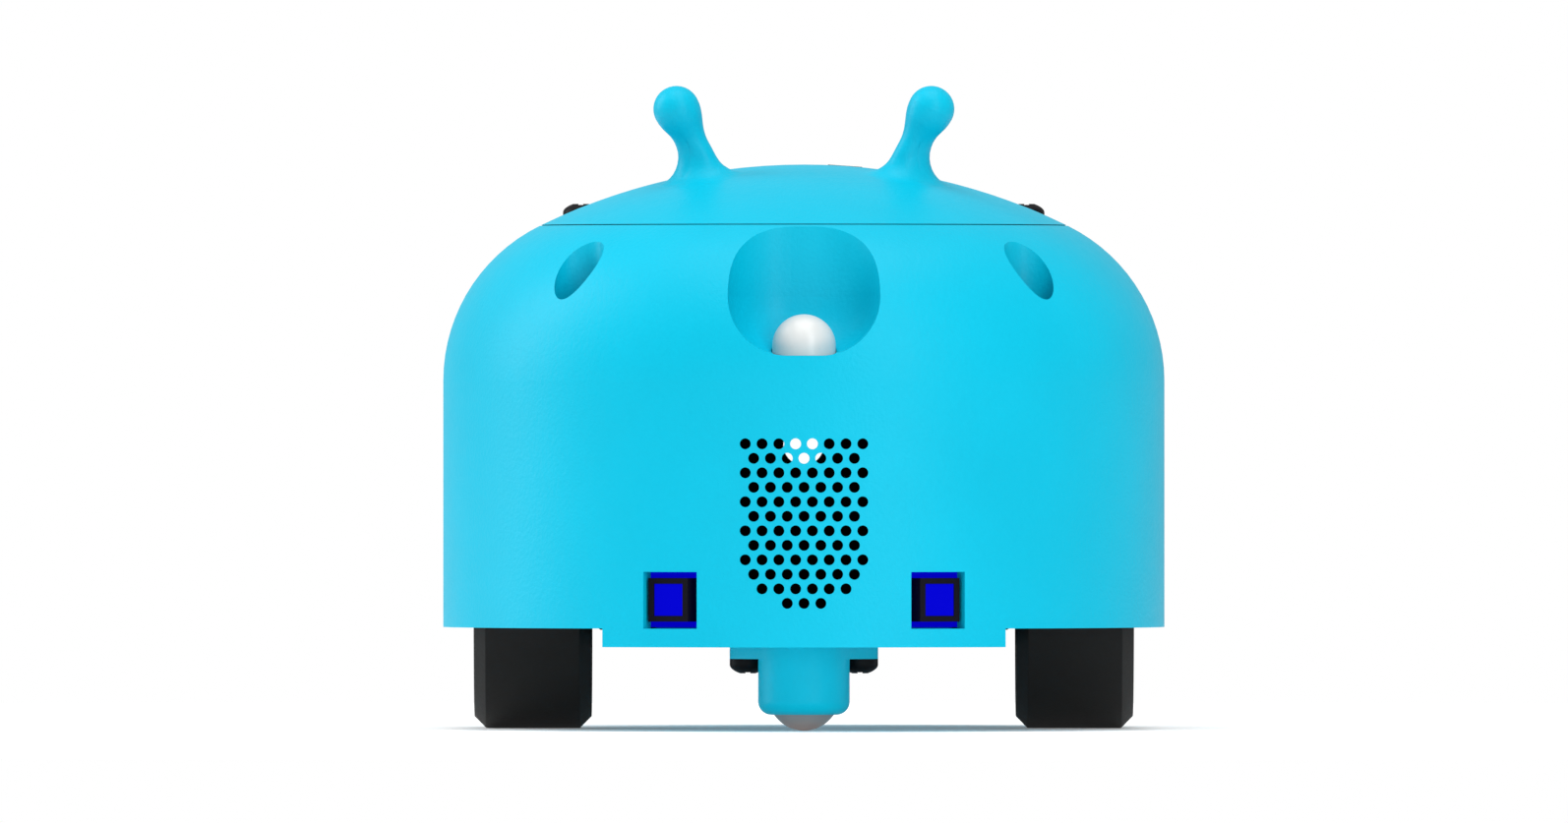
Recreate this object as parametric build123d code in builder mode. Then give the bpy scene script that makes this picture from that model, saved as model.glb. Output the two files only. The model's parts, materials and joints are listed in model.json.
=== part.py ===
"""Two-wheel robot car: a rounded shell and lid on a flat base plate, two geared wheels and a ball caster.

Millimetres. +Z is up, the front faces -Y, and the robot's own left is +X.
The floor is Z = 0 and the origin is under the middle of the body.
The left-hand pieces are modelled and mirrored for the right.
"""
import os
from math import acos, atan2, cos, degrees, pi, radians, sin, sqrt, tan

from build123d import *

os.makedirs("parts", exist_ok=True)

# ---- Body: the plan is a stadium, and the same section runs all round it ----
BODY_R = 80.0           # round ends, outside
HALF_STRAIGHT = 23.0    # each round end's centre lies this far from the middle
WALL = 3.5
SHELL_Z = 22.7          # bottom edge of the shell, top of the base plate
SHOULDER_R = 38.2       # rounds the wall over into the crown
SHOULDER_Z = 77.4       # where the upright wall ends
CROWN_R = 133.0         # large radius over the top
SEAM_Z = 111.7          # the lid sits on this plane
SEAM_GAP = 0.2
LID_WALL = 3.0
LID_RING_R = 44.7       # plan radius inside which the lid is hollow
LIP = 2.0               # thickness and overlap of the lid's locating lip
RIM_R = 47.0            # plan radius of the opening under the lid
RIM_T = 3.0

SHOULDER_X = BODY_R - SHOULDER_R
CROWN_Z = SHOULDER_Z - sqrt((CROWN_R - SHOULDER_R) ** 2 - SHOULDER_X ** 2)
TANGENT_DEG = degrees(atan2(SHOULDER_Z - CROWN_Z, SHOULDER_X))
TOP_Z = CROWN_Z + CROWN_R
FRONT_Y = -HALF_STRAIGHT
REAR_Y = HALF_STRAIGHT

# ---- Base plate ----
PLATE_Z = 18.6
PLATE_HALF_W = 44.4
PLATE_T = SHELL_Z - PLATE_Z
EAR_T = 4.0
EAR_R = 6.0
EAR_ROOT = 40.0         # the ears run out from here to the screws, measured along X
UPRIGHT_T = 3.3         # upright that a gearbox is screwed to
UPRIGHT_L = 16.0
UPRIGHT_H = 23.5
BED_DEPTH = 0.9         # shallow beds for the gearboxes
REST_L = 14.0           # back rest of a sensor board
REST_H = 13.0
REST_T = 2.4

# ---- Screws: shank radius, head radius, head height ----
M4 = (1.95, 4.0, 3.2)
M3 = (1.45, 2.8, 2.0)
M2_5 = (1.2, 2.3, 1.6)
TAPPED = 0.05           # hole radius over the shank's, where the screw bites
CLEARANCE = 0.3         # hole radius over the shank's, where it passes through
SNUG = 0.15             # the same for small screws
HEAD_SIDE = 0.4         # share of a head's height that is upright, below its dome
HEAD_FLAT = 0.45        # share of a head's radius that is flat on top
HEAD_BULGE = 0.72       # how high the dome's curve keeps to the head's side
CROSS_L = 1.15          # cross recess, length, width and depth over the head's size
CROSS_W = 0.27
CROSS_DEPTH = 0.55

# ---- Shoulder wells for the shell screws ----
WELL_R = 5.45
WELL_WALL = 2.25
WELL_OFFSET = 49.6      # from a round end's centre, along X and along Y
WELL_SEAT_Z = 33.0
WELL_SCREW_L = 10.0
WELLS = [(x * WELL_OFFSET, y * (HALF_STRAIGHT + WELL_OFFSET)) for x in (-1, 1) for y in (-1, 1)]

# ---- Lid screws ----
LID_SCREWS = [(x, 37.0) for x in (-49.8, 49.8)]
LID_SEAT_Z = 113.7
LID_BOSS_R = 4.0
LID_BOSS_Z = 100.0
LID_SCREW_L = 10.0

# ---- Antennas ----
BALL_R = 5.13
BALL_X = 28.2
BALL_Z = 137.5
ANTENNA_Y = FRONT_Y - 18.0
ANTENNA_TILT = 28.1
NECK_R = 2.85
NECK_DROP = 9.5         # from the ball's centre to the narrowest point
ANTENNA_DROP = 18.8     # from the ball's centre to the end inside the lid
FLARE_R = 7.0

# ---- Nose pocket and lamp ----
POCKET_HALF_W = 16.8
POCKET_BACK_Y = FRONT_Y - 59.4
POCKET_Z = 82.8
POCKET_CORNER_R = 14.0
POCKET_FLOOR_R = 13.0
POCKET_WALL = 2.5
NOSE_Y = FRONT_Y - 69.0
NOSE_R = 7.0
NOSE_Z = 84.9           # centre of the dome
NOSE_WALL = 1.2
FLANGE_R = NOSE_R + 2.0
LED_R = 2.5
LED_FOOT_R = 2.9

# ---- Speaker grille ----
GRILLE_HOLE_R = 1.2
GRILLE_PITCH_X = 3.69
GRILLE_PITCH_Z = 3.19
GRILLE_TOP_Z = 63.4
GRILLE_ROWS = [8, 7] * 5 + [6, 3]
SPEAKER_R = 16.5
SPEAKER_Z = 41.5
SPEAKER_FRONT_Y = -96.2
BRACKET_T = 2.4         # bracket that holds the speaker up behind the grille
BRACKET_MOUTH_R = 14.2
BRACKET_FOOT_W = 28.0
BRACKET_FOOT_L = 20.0
BRACKET_FOOT_Y = -82.5
BRACKET_SCREWS = [(x, -80.0) for x in (-9.0, 9.0)]
BRACKET_SCREW_L = 5.5
FOAM_T = 1.0            # dark sheet behind the grille
FOAM_RISE = 2.8         # its lower edge over the shell's
PORT_R = 4.55           # round port in the rear wall, in line with the top of the grille
PORT_Z = 63.0

# ---- Sensors, each pointing outwards from straight ahead ----
SENSOR_DEG = 28.0
SENSOR_X = 29.6         # middle of the window on the outer wall
SENSOR_Z = 29.05
WINDOW_W = 12.6
WINDOW_TOP_Z = 35.2
SENSOR_SHIFT = 0.7      # the housing sits off the window's middle, away from the centre line
SENSOR_FACE = -0.7      # front of the housing, measured outwards from the wall's surface
SENSOR_BOARD = -5.3     # front of the board
SENSOR_W = 9.8
SENSOR_H = 9.6
LENS_SIDE = 7.0
SENSOR_BOARD_W = 18.0
SENSOR_BOARD_H = 16.0

# ---- Wheels and drive ----
TYRE_R = 33.5
TYRE_IN = 47.2
TYRE_W = 26.1
TYRE_CHAMFER = 2.6
RIM_OUT_R = 27.4
RIM_IN_R = 24.9
WEB_T = 3.0
WEB_HOLES = 6
WEB_HOLE_R = 5.2
WEB_HOLES_AT = 15.6     # radius of the circle that they lie on
HUB_R = 6.5
HUB_GAP = 1.2           # between the hub and the gearbox
HUB_PROUD = 5.0         # how far the hub passes the middle of the wheel
AXLE_Y = 10.0
AXLE_Z = TYRE_R
GEARBOX_IN = 25.4
GEARBOX_OUT = 44.2
GEARBOX_MID = (GEARBOX_IN + GEARBOX_OUT) / 2
GEARBOX_L = 37.0
GEARBOX_H = 22.5
GEARBOX_WALL = 1.5
GEARBOX_Y = AXLE_Y + GEARBOX_H / 2 - GEARBOX_L / 2   # middle of the gearbox
MOTOR_SCREW_Y = AXLE_Y - 20.3
MOTOR_SCREW_Z = [AXLE_Z - 8.75, AXLE_Z + 8.75]
SHAFT_R = 2.7
SHAFT_FLATS = 3.7
SHAFT_OUT = 53.5
RUNNING = 0.06          # radial clearance of a running fit

# ---- Gear train: pinion 8 to crown 32, then pinion 12 to output gear 36 ----
MODULE = 0.5
ADDENDUM = 0.8 * MODULE
DEDENDUM = 1.2 * MODULE
BACKLASH = 0.12
PRESSURE_DEG = 20.0
MOTOR_TEETH = 8
CROWN_TEETH = 32
CLUSTER_TEETH = 12
OUTPUT_TEETH = 36
CLUSTER_Y = AXLE_Y - MODULE * (CLUSTER_TEETH + OUTPUT_TEETH) / 2
CROWN_PITCH_R = MODULE * CROWN_TEETH / 2
CROWN_FACE_X = GEARBOX_MID - MODULE * MOTOR_TEETH / 2 - DEDENDUM   # root of the crown's teeth
CROWN_TOOTH_L = 1.6     # length of a crown tooth along its radius
CROWN_DISC_T = 2.0
HUB_TO_MID = 1.6        # the cluster's hub ends this far past the gearbox's middle
CLUSTER_FACE = 5.0      # width of the small pinion
CLUSTER_HUB_R = 2.2
OUTPUT_FACE = 4.6
OUTPUT_OFFSET = 1.8     # the output gear starts this far past the gearbox's middle
PIN_R = 1.0
PIN_END = 0.4           # the pin stops this far inside each outer face
POST_R = 2.7            # tubes round the gearbox's screws
BOSS_R = 3.0            # bearing boss on the motor's front
MOTOR_L = 27.0
MOTOR_R = 10.0
MOTOR_FLATS = 15.4
CAN_T = 0.8
ROTOR_SHAFT_R = 1.0
ROTOR_R = 6.0
ROTOR_L = 16.0
MOTOR_Y = GEARBOX_Y - GEARBOX_L / 2   # where the motor meets the gearbox

# ---- Caster ----
CASTER_Y = -62.0
CASTER_R = 10.1
CASTER_Z = 3.5
CASTER_FILLET = 2.9
CASTER_BALL_R = 8.0
CASTER_GAP = 0.25
CASTER_FLANGE_T = 2.8
CASTER_EAR_R = 4.0
CASTER_SCREW_L = 11.0
NUT_R = 4.04            # to the corners
NUT_H = 3.2
CASTER_SCREWS = [(x, CASTER_Y + 7.5) for x in (-12.4, 12.4)]

# ---- Rocker switch on the lid, its frame square to the surface ----
SWITCH_X = 9.0
SWITCH_Y = 52.6
SWITCH_W = 9.1
SWITCH_L = 13.5
BEZEL_W = 11.0
BEZEL_L = 15.4
BEZEL_T = 1.5
BEZEL_SINK = 0.35       # the bezel's flat underside sits this far below the curved surface
ROCKER_R = 6.2
ROCKER_W = 7.7
ROCKER_TILT = -8.0      # at rest the front end is up
ROCKER_GAP = 0.25
SWITCH_DEPTH = 11.0
SWITCH_WELL = 3.7
PIVOT_R = 0.8
TERMINAL_W = 4.0
TERMINAL_T = 0.7
TERMINAL_L = 5.5
TERMINAL_PITCH = 4.6

# ---- Battery and controller ----
CELL_R = 9.15
CELL_L = 65.0
HOLDER_Y = -9.5
HOLDER_W = 41.0
HOLDER_L = 77.0
HOLDER_Z = SHELL_Z + 0.2
HOLDER_H = 14.0
HOLDER_SIDE = 1.3
HOLDER_END = 1.8
HOLDER_FLOOR = 1.5
CELL_TIP_R = 2.8
CELL_TIP_L = 1.2
CONTACT_W = 11.0
CONTACT_H = 12.0
CONTACT_T = 0.5
CELL_X = 9.6
BOARD_Z = 49.6
BOARD_T = 1.6
BOARD_W = 68.0
BOARD_L = 95.0
BOARD_Y = -8.5
STANDOFFS = [(x, BOARD_Y + y) for x in (-30.0, 30.0) for y in (-43.5, 43.5)]
STANDOFF_R = 3.2        # to the corners
STUD_L = 3.0
BOARD_SCREW_L = 5.5
CAPACITOR_R = 4.0
CAPACITOR_H = 9.5
# blocks on the board: centre x and y from the board's middle, then size x, y, z
CHIPS = [(0, 8, 18, 26, 3.2), (-17, -20, 10, 14, 2.4), (17, -20, 10, 14, 2.4), (20, 10, 7, 7, 1.4)]
TERMINALS = [(-26, 0, 8, 16, 9.0), (28, -14, 8, 16, 9.0), (28, 14, 8, 11, 9.0)]
CAPACITORS = [(-13, BOARD_Y + 33), (-24, BOARD_Y + 25), (14, BOARD_Y + 34)]


def save(piece, name):
    """Label a finished piece and write it."""
    piece.part.label = name
    export_step(piece.part, f"parts/{name}.step")


def save_pair(left, name):
    """Write a left-hand piece, and its mirror image for the right."""
    save(left, f"left_{name}")
    with BuildPart() as right:
        mirror(left.part, about=Plane.YZ)
    save(right, f"right_{name}")


def half_section(inset, floor_z):
    """Half of the body's upright section, with its skin moved in by inset."""
    with BuildSketch() as section:
        with BuildLine():
            shoulder = CenterArc((SHOULDER_X, SHOULDER_Z), SHOULDER_R - inset, 0, TANGENT_DEG)
            crown = CenterArc((0, CROWN_Z), CROWN_R - inset, TANGENT_DEG, 90 - TANGENT_DEG)
            Polyline(crown @ 1, (0, floor_z), (BODY_R - inset, floor_z), shoulder @ 0)
        make_face()
    return section.sketch


def body_solid(inset, floor_z):
    """The rounded body as a solid block, with its skin moved in by inset."""
    section = half_section(inset, floor_z)
    with BuildPart() as body:
        for end in (-1, 1):
            with BuildSketch(Plane.XZ.offset(-end * HALF_STRAIGHT)):
                add(section)
            revolve(axis=Axis((0, end * HALF_STRAIGHT, 0), (0, 0, end)), revolution_arc=180)
        with BuildSketch(Plane.XZ.offset(-HALF_STRAIGHT)):
            add(section)
            mirror(about=Plane.YZ)
        extrude(amount=2 * HALF_STRAIGHT)
    return body.part


def stadium(radius, mode=Mode.ADD):
    """The body's plan at a given radius from its middle line."""
    SlotCenterToCenter(2 * HALF_STRAIGHT, 2 * radius, rotation=90, mode=mode)


def seat(x, y, z, facing=(0, 0, 1)):
    """The plane under a screw head, facing the way the head points."""
    return Plane(origin=(x, y, z), z_dir=facing)


def screw_set(seats, length, size):
    """Pan-head screws with cross recesses, one on each seat."""
    shank_r, head_r, head_h = size
    with BuildPart() as screws:
        for place in seats:
            with BuildSketch(Plane(place.origin, x_dir=place.x_dir, z_dir=-place.y_dir)):
                with BuildLine():
                    dome = Bezier((head_r, HEAD_SIDE * head_h), (head_r, HEAD_BULGE * head_h),
                                  (HEAD_FLAT * head_r, head_h))
                    Polyline(dome @ 1, (0, head_h), (0, -length), (shank_r, -length),
                             (shank_r, 0), (head_r, 0), dome @ 0)
                make_face()
            revolve(axis=Axis(place.origin, place.z_dir))
            with BuildSketch(place.offset(head_h)):
                Rectangle(CROSS_L * head_r, CROSS_W * head_r)
                Rectangle(CROSS_W * head_r, CROSS_L * head_r)
            extrude(amount=-CROSS_DEPTH * head_h, mode=Mode.SUBTRACT)
    return screws


def gear_sketch(teeth, first_deg=0.0):
    """Spur gear outline about the sketch's origin, with a tooth centred at first_deg."""
    pitch_r = MODULE * teeth / 2
    base_r = pitch_r * cos(radians(PRESSURE_DEG))
    root_r = pitch_r - DEDENDUM
    tip_r = pitch_r + ADDENDUM

    def half_angle(radius):
        roll = acos(min(1.0, base_r / radius))
        pressure = radians(PRESSURE_DEG)
        at_pitch = pi / (2 * teeth) - BACKLASH / (2 * pitch_r)
        return at_pitch + tan(pressure) - pressure - tan(roll) + roll

    flank = [(0.9 * root_r, half_angle(base_r)), (base_r, half_angle(base_r)),
             (pitch_r, half_angle(pitch_r)), (tip_r, half_angle(tip_r))]
    right = [(r * cos(a), -r * sin(a)) for r, a in flank]
    left = [(r * cos(a), r * sin(a)) for r, a in reversed(flank)]
    Circle(root_r)
    with PolarLocations(0, teeth, start_angle=first_deg):
        Polygon(*right, *left, align=None)


def sensor_plane(side):
    """Plane square to a sensor's line of sight, touching the outer wall at the window's middle."""
    lean = radians(SENSOR_DEG)
    wall_y = FRONT_Y - sqrt(BODY_R ** 2 - SENSOR_X ** 2)
    return Plane(origin=(side * SENSOR_X, wall_y, 0),
                 x_dir=(cos(lean), side * sin(lean), 0), z_dir=(side * sin(lean), -cos(lean), 0))


def pocket_block(grow):
    """The nose pocket's rounded space, open to the front and the top, grown by a wall."""
    depth = 40.0
    with BuildPart() as block:
        with BuildSketch(Plane.XY.offset(POCKET_Z - grow)) as plan:
            with Locations((0, POCKET_BACK_Y + grow - depth / 2)):
                Rectangle(2 * (POCKET_HALF_W + grow), depth)
            fillet(plan.vertices().group_by(Axis.Y)[-1], POCKET_CORNER_R + grow)
        extrude(amount=60.0)
        floor_edges = block.edges().group_by(Axis.Z)[0].sort_by(Axis.Y)[1:]
        fillet(floor_edges, POCKET_FLOOR_R + grow)
    return block.part


# ============================ Shell, lid and base plate ============================

outer_body = body_solid(0, SHELL_Z)

with BuildPart() as shell_bosses:
    # upright tubes that carry the shell screws and the lid screws
    with BuildSketch(Plane.XY.offset(SHELL_Z + EAR_T + 0.2)):
        with Locations(*WELLS):
            Circle(WELL_R + WELL_WALL)
    extrude(amount=TOP_Z)
    with BuildSketch(Plane.XY.offset(LID_BOSS_Z)):
        with Locations(*LID_SCREWS):
            Circle(LID_BOSS_R)
    extrude(amount=TOP_Z)
    add(pocket_block(POCKET_WALL))
    add(outer_body, mode=Mode.INTERSECT)

with BuildPart() as main_shell:
    add(outer_body)
    add(body_solid(WALL, 0), mode=Mode.SUBTRACT)
    with BuildSketch(Plane.XY.offset(SEAM_Z - RIM_T)):
        stadium(BODY_R - 22.0)
        stadium(RIM_R, mode=Mode.SUBTRACT)
    extrude(amount=RIM_T)
    add(shell_bosses.part)
    split(bisect_by=Plane.XY.offset(SEAM_Z), keep=Keep.BOTTOM)
    add(pocket_block(0), mode=Mode.SUBTRACT)
    # wells, open at the shoulder, with a screw hole through each floor
    with BuildSketch(Plane.XY.offset(WELL_SEAT_Z)):
        with Locations(*WELLS):
            Circle(WELL_R)
    extrude(amount=TOP_Z, mode=Mode.SUBTRACT)
    with BuildSketch(Plane.XY.offset(SHELL_Z)):
        with Locations(*WELLS):
            Circle(M4[0] + CLEARANCE)
    extrude(amount=WELL_SEAT_Z - SHELL_Z, mode=Mode.SUBTRACT)
    with BuildSketch(Plane.XY.offset(SEAM_Z)):
        with Locations(*LID_SCREWS):
            Circle(M4[0] + TAPPED)
    extrude(amount=LID_BOSS_Z - SEAM_Z, mode=Mode.SUBTRACT)
    # hole for the nose lamp in the pocket's floor
    with BuildSketch(Plane.XY.offset(POCKET_Z - 10)):
        with Locations((0, NOSE_Y)):
            Circle(NOSE_R + 0.2)
    extrude(amount=20, mode=Mode.SUBTRACT)
    # speaker grille
    with BuildSketch(Plane.XZ.offset(BODY_R - FRONT_Y - 8)):
        for row, count in enumerate(GRILLE_ROWS):
            with Locations((0, GRILLE_TOP_Z - row * GRILLE_PITCH_Z)):
                with GridLocations(GRILLE_PITCH_X, 1, count, 1):
                    Circle(GRILLE_HOLE_R)
    extrude(amount=12, mode=Mode.SUBTRACT)
    # round port in the rear wall
    with BuildSketch(Plane.XZ.offset(-REAR_Y - BODY_R - 4)):
        with Locations((0, PORT_Z)):
            Circle(PORT_R)
    extrude(amount=12, mode=Mode.SUBTRACT)
    # sensor windows, open at the bottom edge
    for side in (-1, 1):
        with BuildSketch(sensor_plane(side).offset(-8)):
            with Locations((0, WINDOW_TOP_Z / 2)):
                Rectangle(WINDOW_W, WINDOW_TOP_Z)
        extrude(amount=16, mode=Mode.SUBTRACT)
save(main_shell, "main_shell")

switch_run = SWITCH_Y - REAR_Y
switch_rise = sqrt(CROWN_R ** 2 - SWITCH_X ** 2 - switch_run ** 2)
switch_plane = Plane(origin=(SWITCH_X, SWITCH_Y, CROWN_Z + switch_rise),
                     x_dir=(switch_rise, 0, -SWITCH_X), z_dir=(SWITCH_X, switch_run, switch_rise))

with BuildPart() as lid_cavity:
    add(body_solid(LID_WALL, SHELL_Z))
    with BuildSketch():
        stadium(LID_RING_R)
    extrude(amount=2 * TOP_Z, mode=Mode.INTERSECT)

with BuildPart() as top_lid:
    add(outer_body)
    split(bisect_by=Plane.XY.offset(SEAM_Z + SEAM_GAP), keep=Keep.TOP)
    # antennas: a ball running smoothly into a neck, leaning outwards
    for side in (-1, 1):
        lean = radians(ANTENNA_TILT)
        down = (-side * sin(lean), 0, -cos(lean))
        axis_plane = Plane(origin=(side * BALL_X, ANTENNA_Y, BALL_Z), x_dir=down, z_dir=(0, 1, 0))
        with BuildSketch(axis_plane):
            with BuildLine():
                cap = CenterArc((0, 0), BALL_R, 180, -90)
                blend = Spline(cap @ 1, (NECK_DROP, NECK_R), tangents=[(1, 0), (1, 0)])
                Polyline(blend @ 1, (ANTENNA_DROP, NECK_R), (ANTENNA_DROP, 0), cap @ 0)
            make_face()
        revolve(axis=Axis(axis_plane.origin, down))
        foot = Vector(*axis_plane.origin) + Vector(*down) * (ANTENNA_DROP - 2)
        foot_edge = top_lid.edges().filter_by(
            lambda e: e.geom_type != GeomType.LINE).sort_by_distance(foot)[0]
        fillet(foot_edge, FLARE_R)
    add(lid_cavity.part, mode=Mode.SUBTRACT)
    # lip that drops into the shell's opening
    with BuildSketch(Plane.XY.offset(SEAM_Z + SEAM_GAP - RIM_T)):
        stadium(LID_RING_R + LIP)
        stadium(LID_RING_R, mode=Mode.SUBTRACT)
    extrude(amount=RIM_T + 0.5)
    # flat seats and holes for the lid screws
    with BuildSketch(Plane.XY.offset(LID_SEAT_Z)):
        with Locations(*LID_SCREWS):
            Circle(M4[1] + 0.5)
    extrude(amount=10, mode=Mode.SUBTRACT)
    with BuildSketch(Plane.XY.offset(SEAM_Z)):
        with Locations(*LID_SCREWS):
            Circle(M4[0] + CLEARANCE)
    extrude(amount=10, mode=Mode.SUBTRACT)
    # cut-out and flat seat for the rocker switch
    with BuildSketch(switch_plane.offset(-10)):
        Rectangle(SWITCH_W + 0.3, SWITCH_L + 0.3)
    extrude(amount=20, mode=Mode.SUBTRACT)
    with BuildSketch(switch_plane.offset(-BEZEL_SINK)):
        Rectangle(BEZEL_W + 0.2, BEZEL_L + 0.2)
    extrude(amount=5, mode=Mode.SUBTRACT)
save(top_lid, "top_lid")

with BuildPart() as base_plate:
    with BuildSketch(Plane.XY.offset(PLATE_Z)):
        stadium(BODY_R)
        Rectangle(2 * PLATE_HALF_W, 4 * BODY_R, mode=Mode.INTERSECT)
    extrude(amount=PLATE_T)
    # ears that reach out to the shell screws
    with BuildSketch(Plane.XY.offset(SHELL_Z)):
        for x, y in WELLS:
            with Locations((x, y)):
                Circle(EAR_R)
            with Locations((x * (WELL_OFFSET + EAR_ROOT) / (2 * WELL_OFFSET), y)):
                Rectangle(WELL_OFFSET - EAR_ROOT, 2 * EAR_R)
            with Locations((x * EAR_ROOT / WELL_OFFSET, y)):
                Circle(EAR_R)
    extrude(amount=EAR_T)
    with BuildSketch(Plane.XY.offset(PLATE_Z)):
        with Locations(*WELLS):
            Circle(M4[0] + TAPPED)
    extrude(amount=PLATE_T + EAR_T, mode=Mode.SUBTRACT)
    # shallow beds for the gearboxes, and the uprights that they are screwed to
    for side in (-1, 1):
        with BuildSketch(Plane.XY.offset(SHELL_Z)):
            with Locations((side * (GEARBOX_MID + 0.1), GEARBOX_Y)):
                Rectangle(GEARBOX_OUT - GEARBOX_IN + 0.6, GEARBOX_L + 0.6)
        extrude(amount=-BED_DEPTH, mode=Mode.SUBTRACT)
        with BuildSketch(Plane.XY.offset(SHELL_Z)):
            with Locations((side * (GEARBOX_IN - 0.1 - UPRIGHT_T / 2), MOTOR_SCREW_Y)):
                Rectangle(UPRIGHT_T, UPRIGHT_L)
        extrude(amount=UPRIGHT_H)
        with BuildSketch(Plane.YZ.offset(side * (GEARBOX_IN - 5))):
            with Locations(*[(MOTOR_SCREW_Y, z) for z in MOTOR_SCREW_Z]):
                Circle(M3[0] + TAPPED)
        extrude(amount=side * 6, mode=Mode.SUBTRACT)
        # back rest of the sensor board
        with BuildSketch(sensor_plane(side).offset(SENSOR_BOARD - BOARD_T - 0.1)):
            with Locations((0, SHELL_Z + REST_H / 2)):
                Rectangle(REST_L, REST_H)
        extrude(amount=-REST_T)
    # pad that keeps the caster's ball in its socket
    with BuildSketch(Plane.XY.offset(PLATE_Z)):
        with Locations((0, CASTER_Y)):
            Circle(CASTER_BALL_R - 0.1)
    extrude(amount=-(PLATE_Z - 2 * CASTER_BALL_R - 0.3))
    with BuildSketch(Plane.XY.offset(PLATE_Z)):
        with Locations(*CASTER_SCREWS):
            Circle(M4[0] + CLEARANCE)
    extrude(amount=PLATE_T, mode=Mode.SUBTRACT)
    # sockets for the studs of the standoffs and the screws of the speaker bracket
    with BuildSketch(Plane.XY.offset(SHELL_Z)):
        with Locations(*STANDOFFS):
            Circle(M3[0] + TAPPED)
        with Locations(*BRACKET_SCREWS):
            Circle(M3[0] + TAPPED)
    extrude(amount=-PLATE_T + 0.5, mode=Mode.SUBTRACT)
save(base_plate, "base_plate")

save(screw_set([seat(x, y, WELL_SEAT_Z) for x, y in WELLS], WELL_SCREW_L, M4), "shell_screws")
save(screw_set([seat(x, y, LID_SEAT_Z) for x, y in LID_SCREWS], LID_SCREW_L, M4), "lid_screws")

# ============================ Caster ============================

caster_flange_z = PLATE_Z - CASTER_FLANGE_T

with BuildPart() as caster_housing:
    with BuildSketch(Plane.XY.offset(CASTER_Z)):
        with Locations((0, CASTER_Y)):
            Circle(CASTER_R)
    extrude(amount=PLATE_Z - CASTER_Z)
    fillet(caster_housing.edges().filter_by(GeomType.CIRCLE).sort_by(Axis.Z)[0], CASTER_FILLET)
    with BuildSketch(Plane.XY.offset(caster_flange_z)):
        with Locations((0, CASTER_Y)):
            Circle(CASTER_R)
        with Locations(*CASTER_SCREWS):
            Circle(CASTER_EAR_R)
        make_hull()
    extrude(amount=CASTER_FLANGE_T)
    with Locations((0, CASTER_Y, CASTER_BALL_R)):
        Sphere(CASTER_BALL_R + CASTER_GAP, mode=Mode.SUBTRACT)
    with BuildSketch(Plane.XY.offset(CASTER_BALL_R)):
        with Locations((0, CASTER_Y)):
            Circle(CASTER_BALL_R + CASTER_GAP)
    extrude(amount=PLATE_Z - CASTER_BALL_R, mode=Mode.SUBTRACT)
    with BuildSketch(Plane.XY.offset(caster_flange_z)):
        with Locations(*CASTER_SCREWS):
            Circle(M4[0] + CLEARANCE)
    extrude(amount=CASTER_FLANGE_T, mode=Mode.SUBTRACT)
save(caster_housing, "caster_housing")

with BuildPart() as caster_ball:
    with Locations((0, CASTER_Y, CASTER_BALL_R)):
        Sphere(CASTER_BALL_R)
save(caster_ball, "caster_ball")

caster_seats = [seat(x, y, caster_flange_z, (0, 0, -1)) for x, y in CASTER_SCREWS]
save(screw_set(caster_seats, CASTER_SCREW_L, M4), "caster_screws")

with BuildPart() as caster_nuts:
    with BuildSketch(Plane.XY.offset(SHELL_Z)):
        with Locations(*CASTER_SCREWS):
            RegularPolygon(NUT_R, 6)
            Circle(M4[0] + TAPPED, mode=Mode.SUBTRACT)
    extrude(amount=NUT_H)
save(caster_nuts, "caster_nuts")

# ============================ Wheels ============================

with BuildPart() as tyre:
    with BuildSketch(Plane.YZ.offset(TYRE_IN)):
        with Locations((AXLE_Y, AXLE_Z)):
            Circle(TYRE_R)
            Circle(RIM_OUT_R + 0.05, mode=Mode.SUBTRACT)
    extrude(amount=TYRE_W)
    chamfer(tyre.edges().filter_by(GeomType.CIRCLE).sort_by(SortBy.RADIUS)[-2:], TYRE_CHAMFER)
save_pair(tyre, "tyre")

with BuildPart() as rim:
    with BuildSketch(Plane.YZ.offset(TYRE_IN + 1)):
        with Locations((AXLE_Y, AXLE_Z)):
            Circle(RIM_OUT_R)
            Circle(RIM_IN_R, mode=Mode.SUBTRACT)
    extrude(amount=TYRE_W - 2)
    # web with six round windows
    with BuildSketch(Plane.YZ.offset(TYRE_IN + TYRE_W / 2)):
        with Locations((AXLE_Y, AXLE_Z)):
            Circle(RIM_IN_R + 1)
            with PolarLocations(WEB_HOLES_AT, WEB_HOLES):
                Circle(WEB_HOLE_R, mode=Mode.SUBTRACT)
    extrude(amount=WEB_T)
    with BuildSketch(Plane.YZ.offset(GEARBOX_OUT + HUB_GAP)):
        with Locations((AXLE_Y, AXLE_Z)):
            Circle(HUB_R)
    extrude(amount=TYRE_IN + TYRE_W / 2 + HUB_PROUD - GEARBOX_OUT - HUB_GAP)
    # blind double-D bore for the shaft
    with BuildSketch(Plane.YZ.offset(GEARBOX_OUT)):
        with Locations((AXLE_Y, AXLE_Z)):
            Circle(SHAFT_R + 0.05)
            Rectangle(3 * SHAFT_R, SHAFT_FLATS + 0.1, mode=Mode.INTERSECT)
    extrude(amount=SHAFT_OUT + 0.5 - GEARBOX_OUT, mode=Mode.SUBTRACT)
save_pair(rim, "rim")

# ============================ Gear motors ============================

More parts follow.
